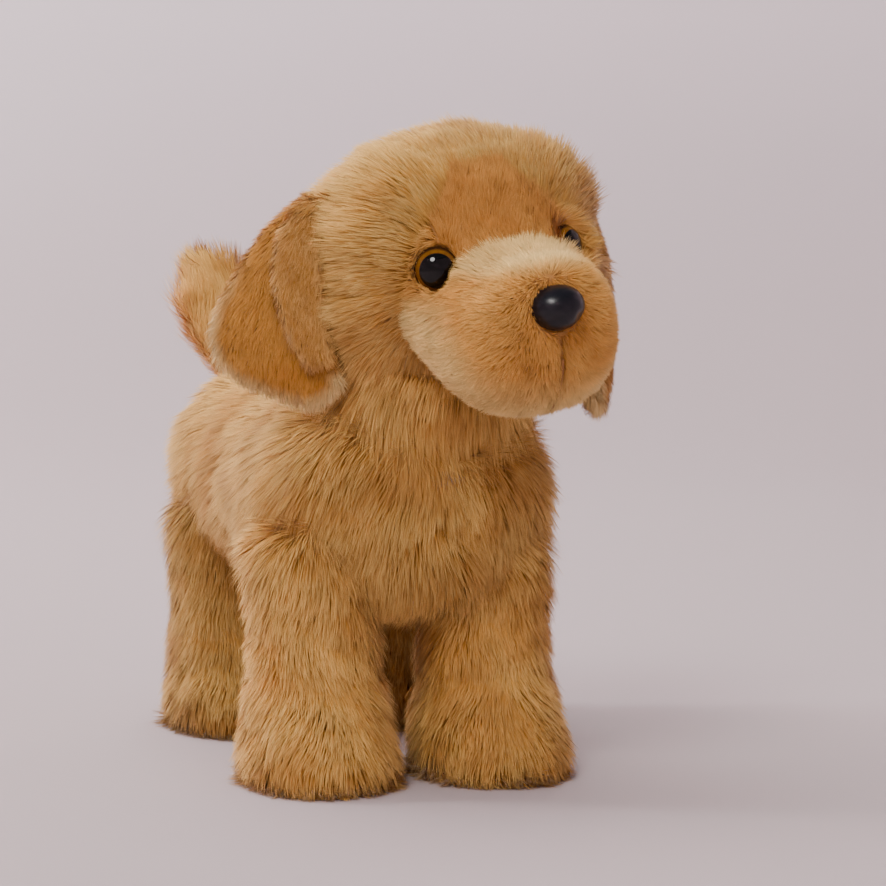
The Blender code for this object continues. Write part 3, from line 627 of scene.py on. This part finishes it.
# the borders of the pale parts, in the head's millimetres
cream = {"bandFoot": -5.5, "sideAt": -39, "sideSlope": 0.62, "sideTop": -10, "chin": -39}
for name, panel in muzzleSources.items():
    roots, normals = rootsOn([panel], fields["head"], shortPile["density"], rng)
    near = np.minimum(eyeGap(roots, 6.4 * mm, 11 * mm), gapTo(roots, nosePlace, 7.0 * mm, 13 * mm) + 0.12)
    keep = (near > 0) & (outsideFace(roots) < 0.8) & (eyeGap(roots, 6.4 * mm, 11 * mm) > 0)
    roots, normals, near = roots[keep], normals[keep], near[keep]
    q = inHead(roots)
    if name == "foreheadPile":
        aims = np.tile([0.0, 0.4, 1.0], (len(q), 1)) @ headAxes
        spec, pale = {**shortPile, "look": looks["patch"], "slot": "patch_pile", "seed": 71}, 0.0
    else:
        aims = np.stack([q[:, 0] * 0.03, np.full(len(q), 1.0), np.full(len(q), -0.35)], axis=1) @ headAxes
        side = q[:, 1] - (cream["sideAt"] + cream["sideSlope"] * (q[:, 2] - cream["sideTop"]))
        side = np.clip((side + 5) / 13, 0, 1) * np.clip((-6 - q[:, 2]) / 7, 0, 1)
        band = np.clip((q[:, 2] - cream["bandFoot"]) / 3, 0, 1) * np.clip((22 - np.abs(q[:, 0])) / 5, 0, 1)
        chin = np.clip((cream["chin"] - q[:, 2]) / 8, 0, 1)
        pale = np.maximum.reduce([side * 0.95, band * 0.9, chin * 0.75])
        spec = {**shortPile, "seed": 60 + len(name)}
    # painted shade: the short pile is darker along the middle line low on the muzzle, in that crease, and
    # near the face's border, where the long pile overhangs
    crease = np.clip(np.abs(q[:, 0]) / 3 + np.clip((q[:, 2] + 22) / 4, 0, 1), 0, 1)
    aims += fromEyes(roots, 12 * mm) * 2
    upper = np.clip((q[:, 2] + 8) / 8, 0, 1)  # the bridge and the brow stand a little taller
    brow = 1 - gapTo(roots, eyes["left"]["place"], 7 * mm, 13 * mm)  # most of all beside the left eye
    reach = (0.45 + 0.55 * near) * (1 + 0.35 * upper) + brow
    toneAndPaintedShade = (0.74 + 0.26 * crease) * (0.8 + 0.2 * np.clip(-outsideFace(roots) / 4, 0, 1))
    growPile(name, "head", roots, normals, aims, spec, pale=pale, reach=reach, toneAndPaintedShade=toneAndPaintedShade)
print("head fur grown")

earSpec = {**shortPile, "length": 5.0 * mm, "look": looks["ear"], "fringe": 3.6 * mm}


def rimGap(name, roots, normals, most):  # how near each root is to the edge of its layer of cloth
    layer = treeOf(nodes[name])
    gaps = np.full(len(roots), most)
    for i, (root, normal) in enumerate(zip(roots, normals)):
        inside, normal = Vector(root - normal * 0.8 * mm), Vector(normal)
        across = normal.orthogonal().normalized()
        along = normal.cross(across)
        for k in range(12):
            angle = math.radians(30 * k)
            hit = layer.ray_cast(inside, across * math.cos(angle) + along * math.sin(angle), gaps[i])
            if hit[0] is not None:
                gaps[i] = hit[3]
    return gaps


for side in ("left", "right"):
    field = fields["ear_" + side]
    middle = field["places"].mean(axis=0)
    lobeTree = treeOf(nodes[f"ear_{side}_lobe"])
    low, high = (np.array(corner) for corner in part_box(f"ear_{side}_outer"))
    for layer in ("outer", "lining", "lobe"):
        name = f"ear_{side}_{layer}"
        roots, normals = rootsOn([name], field, earSpec["density"] if layer != "lining" else 5.0, rng)
        hang = np.clip((high[2] - roots[:, 2]) / (high[2] - low[2]) * 2.2 - 0.6, 0, 1)
        pale = np.clip(1.25 - rimGap(name, roots, normals, 6 * mm) / earSpec["fringe"], 0, 1) * hang
        lobe = [lobeTree.find_nearest(root)[3] for root in roots]
        crease = np.clip(np.array(lobe) / mm / 3 - 0.7, 0, 1)  # never pale beside the lobe, and darker there as painted shade in the crease
        pale *= crease
        pale = {"outer": pale, "lining": np.maximum(pale, 0.4), "lobe": 0.22}[layer]
        # painted shade: the outer pile is darkened in the crease beside the lobe
        toneAndPaintedShade = 0.8 + 0.2 * crease if layer == "outer" else 1.0
        aims = (roots - middle) * [8, 8, 4] * hang[:, None] / (high[2] - low[2]) * 0.1 + [0, 0, -1.0]
        growPile(f"earPile_{side}_{layer}", "ear_" + side, roots, normals, aims,
                 {**earSpec, "seed": 80 + len(layer)}, pale=pale,
                 reach=1 + 0.5 * pale * (layer == "outer"), toneAndPaintedShade=toneAndPaintedShade)
print("ear fur grown")

tailSpec = {**longPile, "length": 19 * mm, "density": 3.6, "lean": (44, 62), "pull": 0.5, "lock": 40,
            "seed": 91}
roots, normals = clearRoots(tailPanels, fields["tail"], tailSpec["density"], rng, ["torso"])
low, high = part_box("tail_skin_left")
tip = np.clip((roots[:, 2] - low[2]) / (high[2] - low[2]), 0, 1)
aims = np.tile([-0.35, 0.1, 1.0], (len(roots), 1))
# painted light: the pile on the tail's underside is lightened against its shade
growPile("tailFur", "tail", roots, normals, aims, tailSpec,
         reach=0.85 + 0.35 * tip, toneAndPaintedShade=1.08 + 0.12 * np.clip(-normals[:, 2], 0, 1))


def turnedPiece(name, profile, place, aim, look):  # a closed form turned about its aim, front first
    sides = 64
    aim = Vector(aim)
    across = aim.cross(Vector(headUp)).normalized()
    up = across.cross(aim)
    work = bmesh.new()
    rings = []
    for radius, height in profile:
        if radius == 0:
            rings.append([work.verts.new(Vector(place) + aim * height)])
            continue
        angles = [2 * math.pi * i / sides for i in range(sides)]
        rims = [(across * math.cos(a) + up * math.sin(a)) * radius for a in angles]
        rings.append([work.verts.new(Vector(place) + aim * height + rim) for rim in rims])
    for one, two in zip(rings, rings[1:]):
        for i in range(sides):
            j = (i + 1) % sides
            corners = [one[i % len(one)], one[j % len(one)], two[j % len(two)], two[i % len(two)]]
            work.faces.new(list(dict.fromkeys(corners)))
    bmesh.ops.recalc_face_normals(work, faces=work.faces)
    mesh = bpy.data.meshes.new(name)
    work.to_mesh(mesh)
    work.free()
    mesh.shade_smooth()
    mesh.materials.append(look.material)
    made = bpy.data.objects.new(name, mesh)
    bpy.context.scene.collection.objects.link(made)
    return made, np.array(across), np.array(up)


# the moulded eyes: a clear dome over an amber ring and a black pupil
eyeLook = Look("eyeGloss", Roughness=0.05)
eyeLook.shader.inputs["Specular IOR Level"].default_value = 0.28
ring = eyeLook.stored("ring")
glint = eyeLook.noise(900.0, 3.0)
iris = eyeLook.mix(glint, linear(84, 50, 10), linear(132, 86, 20))
# painted shadow: the amber ring darkens at its outer edge, as if the pile shaded the eye's rim
iris = eyeLook.mix(eyeLook.eased(ring, 0.9, 1.0), iris, linear(38, 20, 8))
eyeLook.feed("Base Color", eyeLook.mix(eyeLook.eased(ring, 0.775, 0.81), (0.003, 0.003, 0.003), iris))
pupilDrop = 0.55 * mm  # the pupil sits a little low under the dome
for side, eye in eyes.items():
    dome = 4.7 * mm
    curve = (eye["radius"] ** 2 + dome ** 2) / (2 * dome)
    most = math.asin(eye["radius"] / curve)
    rim = eye["front"] - dome
    angles = [most * i / 24 for i in range(25)]
    profile = [(curve * math.sin(a), rim + dome - curve * (1 - math.cos(a))) for a in angles]
    profile += [(eye["radius"], rim - 0.5 * mm), (eye["radius"] * 0.9, eye["back"]), (0, eye["back"])]
    made, across, up = turnedPiece("eye_" + side, profile, eye["place"], eye["aim"], eyeLook)
    flat = np.array([v.co for v in made.data.vertices]) - eye["place"]
    rings = np.hypot(flat @ across, flat @ up + pupilDrop) / eye["radius"]
    made.data.attributes.new("ring", "FLOAT", "POINT").data.foreach_set("value", rings.astype(np.float32))
    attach(made, "head")
    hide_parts(f"eye_{side}_lens", f"eye_{side}_pupil")

# the moulded nose: a broad dome, wider above, with a dent at each nostril
noseLook = Look("noseGloss", Roughness=0.3)
noseLook.shader.inputs["Specular IOR Level"].default_value = 0.32
grain = noseLook.noise(1400.0, 3.0, 0.6)
noseLook.feed("Base Color", noseLook.mix(grain, (0.003, 0.003, 0.005), (0.008, 0.008, 0.013)))
noseLook.bump(grain, 0.12, 0.0002)
nose = inHead(placesOf("nose"))
noseCentre, noseHalf = (nose.max(axis=0) + nose.min(axis=0)) / 2, (nose.max(axis=0) - nose.min(axis=0)) / 2
work = bmesh.new()
bmesh.ops.create_uvsphere(work, u_segments=56, v_segments=36, radius=1)
for vert in work.verts:
    x, y, z = vert.co
    x *= (1 + 0.10 * z) * noseHalf[0]
    y, z = y * noseHalf[1], z * noseHalf[2] * (1.0 if z > 0 else 0.96)
    for way in (-1, 1):
        dent = math.exp(-((x - way * 4.6) ** 2 + (z + 3.2) ** 2) / 3.2)
        y += 1.1 * dent * (y < 0)
    vert.co = Vector(skull + (noseCentre + [x, y, z]) @ headAxes * mm)
bmesh.ops.recalc_face_normals(work, faces=work.faces)
mesh = bpy.data.meshes.new("noseDome")
work.to_mesh(mesh)
work.free()
mesh.shade_smooth()
mesh.materials.append(noseLook.material)
made = bpy.data.objects.new("noseDome", mesh)
bpy.context.scene.collection.objects.link(made)
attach(made, "head")
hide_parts("nose")
print("eyes and nose made")

# CAD nodes that stay
plastic = Look("washerPlastic", Roughness=0.5)
plastic.feed("Base Color", plastic.mix(plastic.noise(400.0), (0.78, 0.78, 0.75), (0.88, 0.88, 0.86)))
soleLook = backingLook("solePile", linear(206, 160, 108))
threadLook = Look("seamThread", Roughness=0.8)
twist = threadLook.noise(2500.0)
threadLook.feed("Base Color", threadLook.mix(twist, linear(128, 82, 42), linear(160, 108, 60)))
stays = {"washer": plastic, "sole": soleLook, "thread": threadLook}
for name, node in nodes.items():
    for word, look in stays.items():
        if word in name:
            node.data.materials.clear()
            node.data.materials.append(look.material if isinstance(look, Look) else look)

# floor, light and camera
# the paper's floor colour is darker than its wall colour as painted shade
studio = {"radius": 2.4, "corner": 1.3, "height": 2.6, "colour": linear(224, 209, 213),
          "floor": linear(186, 171, 172)}
work = bmesh.new()
profile = [(0, 0), (studio["radius"] - studio["corner"], 0)]
for i in range(1, 13):
    angle = math.radians(90 * i / 12)
    profile.append((studio["radius"] - studio["corner"] + studio["corner"] * math.sin(angle),
                    studio["corner"] * (1 - math.cos(angle))))
profile.append((studio["radius"], studio["height"]))
verts = [work.verts.new((x, 0, z)) for x, z in profile]
edges = [work.edges.new(pair) for pair in zip(verts, verts[1:])]
bmesh.ops.spin(work, geom=verts + edges, cent=(0, 0, 0), axis=(0, 0, 1), angle=2 * math.pi, steps=64,
               use_merge=True)
bmesh.ops.remove_doubles(work, verts=work.verts, dist=1e-5)
bmesh.ops.recalc_face_normals(work, faces=work.faces)
mesh = bpy.data.meshes.new("studioFloor")
work.to_mesh(mesh)
work.free()
mesh.shade_smooth()
floorLook = Look("studioPaper", Roughness=0.85)
height = floorLook.node("ShaderNodeSeparateXYZ", {}, {0: floorLook.place()}, 2)
# painted shade: the paper is darker on the floor than up the wall
paperWithPaintedShade = floorLook.mix(floorLook.eased(height, 0.0, 0.5), studio["floor"], studio["colour"])
floorLook.feed("Base Color", floorLook.mix(floorLook.noise(3.0) * 0.04, paperWithPaintedShade, (0.5, 0.45, 0.46)))
mesh.materials.append(floorLook.material)
floor = bpy.data.objects.new("studioFloor", mesh)
bpy.context.scene.collection.objects.link(floor)

aimAt = (0, -0.02, 0.11)
lights = [
    {"name": "keyLight", "place": (-0.6, -0.9, 1.2), "aim": aimAt, "size": 0.5, "power": 15.5,
     "gloss": True, "colour": (1.0, 0.97, 0.94)},
    {"name": "fillLight", "place": (0.95, -0.95, 0.6), "aim": aimAt, "size": 0.9, "power": 1.6,
     "gloss": False, "colour": (0.97, 0.96, 1.0)},
    {"name": "topLight", "place": (-0.15, 0.25, 1.35), "aim": aimAt, "size": 1.0, "power": 12.0,
     "gloss": False, "colour": (1.0, 0.99, 0.98)},
    {"name": "wallLight", "place": (-1.7, 0.9, 1.3), "aim": (-1.1, 2.3, 0.4), "size": 0.8, "power": 105.0,
     "gloss": False, "colour": (0.98, 0.98, 1.0)},
    {"name": "backLight", "place": (0.7, 1.1, 1.0), "aim": aimAt, "size": 0.8, "power": 4.0,
     "gloss": False, "colour": (1.0, 0.99, 0.97)},
]
for spec in lights:
    lamp = bpy.data.lights.new(spec["name"], "AREA")
    lamp.shape = "DISK"
    lamp.size = spec["size"]
    lamp.energy = spec["power"]
    lamp.color = spec["colour"]
    made = bpy.data.objects.new(spec["name"], lamp)
    made.location = spec["place"]
    made.visible_glossy = spec["gloss"]
    made.rotation_euler = (Vector(spec["aim"]) - made.location).to_track_quat("-Z", "Y").to_euler()
    bpy.context.scene.collection.objects.link(made)
world = bpy.data.worlds.new("studioAir")
world.use_nodes = True
world.node_tree.nodes["Background"].inputs["Color"].default_value = (0.90, 0.88, 0.93, 1)
world.node_tree.nodes["Background"].inputs["Strength"].default_value = 0.18
bpy.context.scene.world = world

view = {"azimuth": -17.0, "elevation": 5.0, "distance": 1.1, "lens": 125.9,
        "target": Vector((0.00898, -0.02991, 0.1156))}
turn, rise = math.radians(view["azimuth"]), math.radians(view["elevation"])
back = Vector((math.sin(turn) * math.cos(rise), -math.cos(turn) * math.cos(rise), math.sin(rise)))
camera = bpy.data.objects.new("camera", bpy.data.cameras.new("camera"))
camera.data.lens = view["lens"]
camera.location = view["target"] + back * view["distance"]
camera.rotation_euler = (-back).to_track_quat("-Z", "Y").to_euler()
bpy.context.scene.collection.objects.link(camera)
bpy.context.scene.camera = camera
